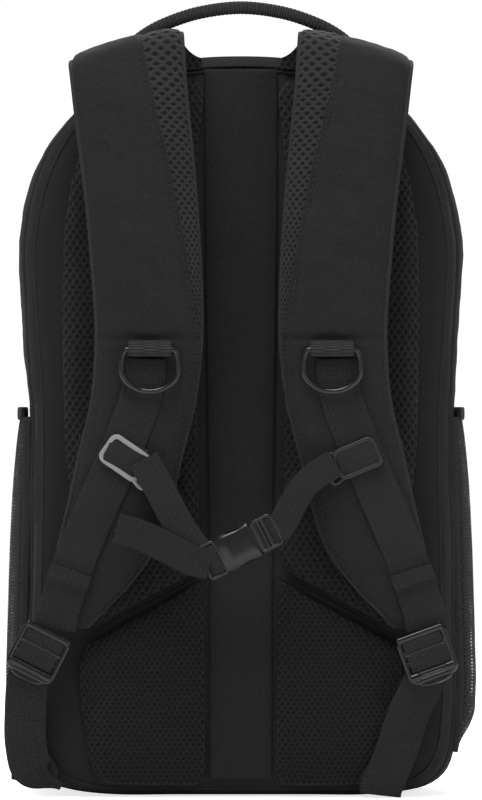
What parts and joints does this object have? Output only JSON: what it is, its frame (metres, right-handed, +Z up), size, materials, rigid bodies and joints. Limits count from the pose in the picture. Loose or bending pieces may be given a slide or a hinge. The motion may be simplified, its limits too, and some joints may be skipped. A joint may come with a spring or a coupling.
{
  "type": "school backpack",
  "caption": "Arched day backpack with padded mesh back, shoulder straps with D-rings and ladder locks, buckled sternum strap, haul handle, zipped flap and pockets.",
  "frame": {"origin": "on the floor under the middle of the whole bounding box, pack standing upright on its base", "axes": "+Z up, +Y out of the front with the pocket, -Y out of the padded back, +X to the right when looking at the back"},
  "size_m": [0.2832, 0.228, 0.4778],
  "materials": {
    "body_fabric": "charcoal woven polyester, matte",
    "strap_fabric": "charcoal woven polyester over foam, matte",
    "air_mesh": "black spacer mesh with open cells over foam",
    "pocket_mesh": "black open-weave stretch mesh",
    "webbing": "black ribbed webbing, matte",
    "zip_tape": "black coated zip tape and coil",
    "lining": "dark grey lining over foam",
    "black_plastic": "black acetal, satin",
    "grey_plastic": "light grey acetal, satin",
    "buckle_plastic": "black acetal, glossy",
    "zip_metal": "dark painted zinc"
  },
  "bodies": {
    "pack": {"back_pad_lower_left": "air_mesh", "back_pad_lower_right": "air_mesh", "back_pad_upper_left": "air_mesh", "back_pad_upper_right": "air_mesh", "back_panel": "body_fabric", "base_gusset": "body_fabric", "front_lower": "body_fabric", "front_pocket": "body_fabric", "laptop_sleeve": "lining", "lower_webbing_left": "webbing", "lower_webbing_right": "webbing", "pocket_binding_left": "webbing", "pocket_binding_right": "webbing", "pocket_zip_tape": "zip_tape", "rear_gusset": "body_fabric", "side_pocket_left": "pocket_mesh", "side_pocket_right": "pocket_mesh", "spine_panel": "body_fabric", "strap_wing_left": "body_fabric", "strap_wing_right": "body_fabric", "top_yoke": "webbing", "zip_tape_rear": "zip_tape"},
    "flap": {"front_flap": "body_fabric", "zip_tape_front": "zip_tape"},
    "harness": {"strap_pad_left": "strap_fabric", "strap_pad_right": "strap_fabric", "strap_webbing_left": "webbing", "strap_webbing_right": "webbing", "ring_tab_left": "webbing", "ring_tab_right": "webbing"},
    "handle": {"haul_handle": "webbing"},
    "ring_left": {"d_ring_left": "black_plastic"},
    "ring_right": {"d_ring_right": "black_plastic"},
    "lock_left": {"ladder_lock_left": "black_plastic"},
    "lock_right": {"ladder_lock_right": "black_plastic"},
    "sternum": {"sternum_slider_left": "grey_plastic", "sternum_slider_right": "black_plastic", "sternum_web_left": "webbing", "sternum_web_right": "webbing", "sternum_tail": "webbing", "buckle_female": "buckle_plastic", "buckle_adjuster": "buckle_plastic"},
    "buckle_male": {"buckle_male": "buckle_plastic"},
    "prong_upper": {"buckle_prong_upper": "buckle_plastic"},
    "prong_lower": {"buckle_prong_lower": "buckle_plastic"},
    "main_slider_left": {"zip_slider_left": "zip_metal"},
    "main_slider_right": {"zip_slider_right": "zip_metal"},
    "main_pull_left": {"zip_pull_left": "zip_metal"},
    "main_pull_right": {"zip_pull_right": "zip_metal"},
    "pocket_slider": {"pocket_zip_slider": "zip_metal"},
    "pocket_pull": {"pocket_zip_pull": "zip_metal"}
  },
  "joints": [
    {"name": "flap_open", "type": "hinge", "parent": "pack", "child": "flap", "pos_m": [0, 0.07573, 0.1912], "axis": [-1, 0, 0], "range_deg": [0, 35]},
    {"name": "harness_swing", "type": "hinge", "parent": "pack", "child": "harness", "pos_m": [0, -0.06074, 0.43], "axis": [-1, 0, 0], "range_deg": [0, 25], "deforming": ["lower_webbing_left", "lower_webbing_right"]},
    {"name": "handle_fold", "type": "hinge", "parent": "pack", "child": "handle", "pos_m": [0, -0.05274, 0.438], "axis": [-1, 0, 0], "range_deg": [0, 50]},
    {"name": "ring_left_lift", "type": "hinge", "parent": "harness", "child": "ring_left", "pos_m": [-0.054, -0.10998, 0.26828], "axis": [-1, 0, 0], "range_deg": [0, 100]},
    {"name": "ring_right_lift", "type": "hinge", "parent": "harness", "child": "ring_right", "pos_m": [0.054, -0.10998, 0.26828], "axis": [-1, 0, 0], "range_deg": [0, 100]},
    {"name": "lock_left_tilt", "type": "hinge", "parent": "harness", "child": "lock_left", "pos_m": [-0.11455, -0.08334, 0.09965], "axis": [-0.891, 0, 0.454], "range_deg": [0, 30]},
    {"name": "lock_right_tilt", "type": "hinge", "parent": "harness", "child": "lock_right", "pos_m": [0.10614, -0.08334, 0.09934], "axis": [-0.9397, 0, -0.342], "range_deg": [0, 30]},
    {"name": "sternum_height", "type": "slide", "parent": "harness", "child": "sternum", "axis": [0, -0.126, 0.992], "range_m": [-0.012, 0.012]},
    {"name": "buckle_release", "type": "slide", "parent": "sternum", "child": "buckle_male", "axis": [0.891, 0, 0.454], "range_m": [0, 0.022], "deforming": ["sternum_web_right"]},
    {"name": "prong_upper_press", "type": "hinge", "parent": "buckle_male", "child": "prong_upper", "pos_m": [0.0053, -0.10074, 0.16093], "axis": [0, -1, 0], "range_deg": [0, 6], "stiffness_Nm_per_rad": 0.02},
    {"name": "prong_lower_press", "type": "hinge", "parent": "buckle_male", "child": "prong_lower", "pos_m": [0.01074, -0.10074, 0.15024], "axis": [0, 1, 0], "range_deg": [0, 6]},
    {"name": "main_slider_left_run", "type": "hinge", "parent": "pack", "child": "main_slider_left", "pos_m": [0, 0.01148, 0.244], "axis": [0, -1, 0], "range_deg": [0, 18]},
    {"name": "main_pull_left_flip", "type": "hinge", "parent": "main_slider_left", "child": "main_pull_left", "pos_m": [-0.0105, 0.01148, 0.44442], "axis": [0, 1, 0], "range_deg": [0, 100]},
    {"name": "main_slider_right_run", "type": "hinge", "parent": "pack", "child": "main_slider_right", "pos_m": [0, 0.01148, 0.244], "axis": [0, 1, 0], "range_deg": [0, 18]},
    {"name": "main_pull_right_flip", "type": "hinge", "parent": "main_slider_right", "child": "main_pull_right", "pos_m": [0.0105, 0.01148, 0.44442], "axis": [0, -1, 0], "range_deg": [0, 100]},
    {"name": "pocket_slider_run", "type": "slide", "parent": "pack", "child": "pocket_slider", "axis": [-1, 0, 0], "range_m": [0, 0.148]},
    {"name": "pocket_pull_flip", "type": "hinge", "parent": "pocket_slider", "child": "pocket_pull", "pos_m": [0.074, 0.11341, 0.146], "axis": [1, 0, 0], "range_deg": [0, 150]}
  ],
  "couplings": [
    {"joint": "prong_lower_press", "follows": "prong_upper_press", "ratio": 1}
  ]
}
